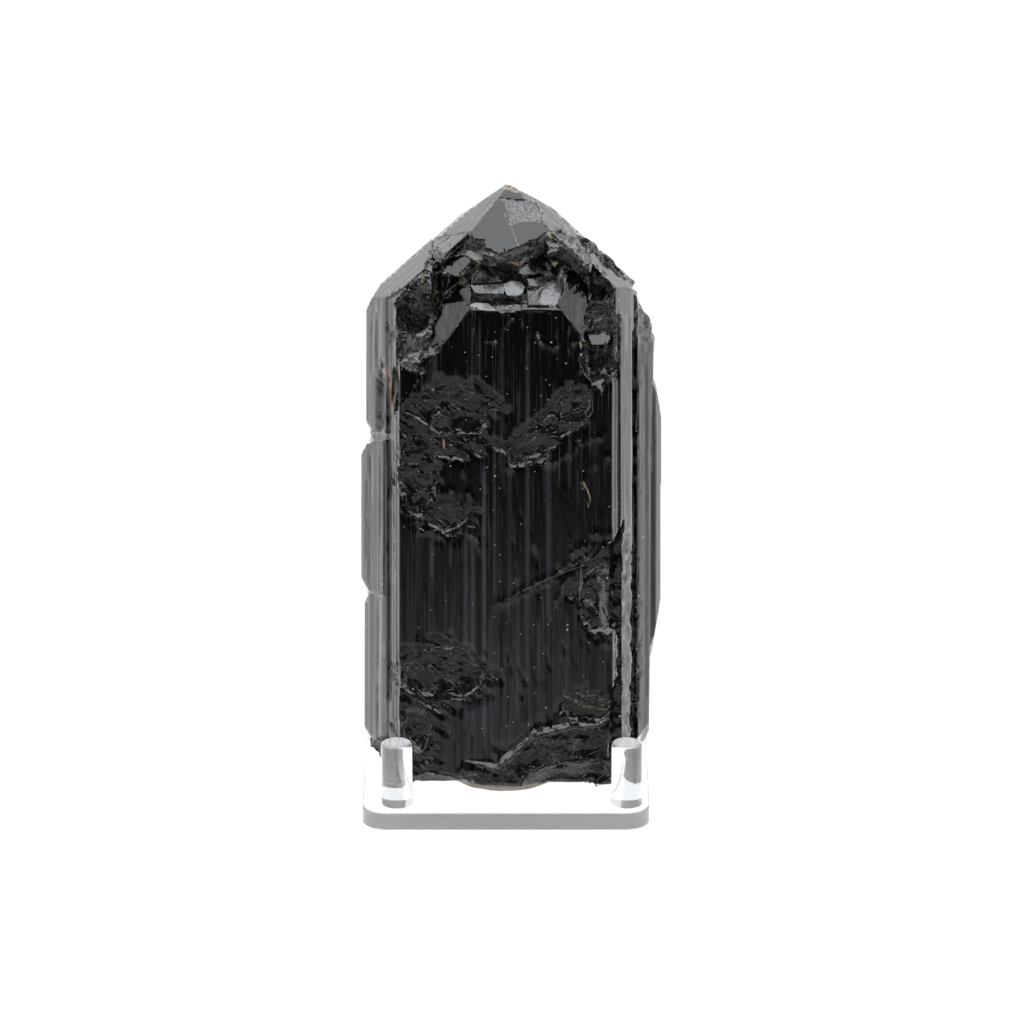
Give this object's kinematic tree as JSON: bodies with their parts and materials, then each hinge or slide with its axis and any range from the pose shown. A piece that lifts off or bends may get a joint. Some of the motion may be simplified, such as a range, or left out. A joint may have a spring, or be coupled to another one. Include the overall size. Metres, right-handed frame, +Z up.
{
  "type": "black tourmaline crystal on a peg stand",
  "caption": "Black striated tourmaline crystal with a steep broken point, leaning back on a clear plate between short round pegs.",
  "frame": {"origin": "centre of the base plate's underside", "axes": "+Z up, -Y towards the crystal's broad front face, +X to the right as seen from the front"},
  "size_m": [0.0488, 0.0715, 0.0935],
  "materials": {
    "crystal": "gloss",
    "clear_acrylic": "polished",
    "putty": "matte"
  },
  "bodies": {
    "root": {"crystal": "crystal", "stand_base": "clear_acrylic", "peg_front_left": "clear_acrylic", "peg_front_right": "clear_acrylic", "peg_back": "clear_acrylic", "putty_pad": "putty"}
  },
  "joints": []
}
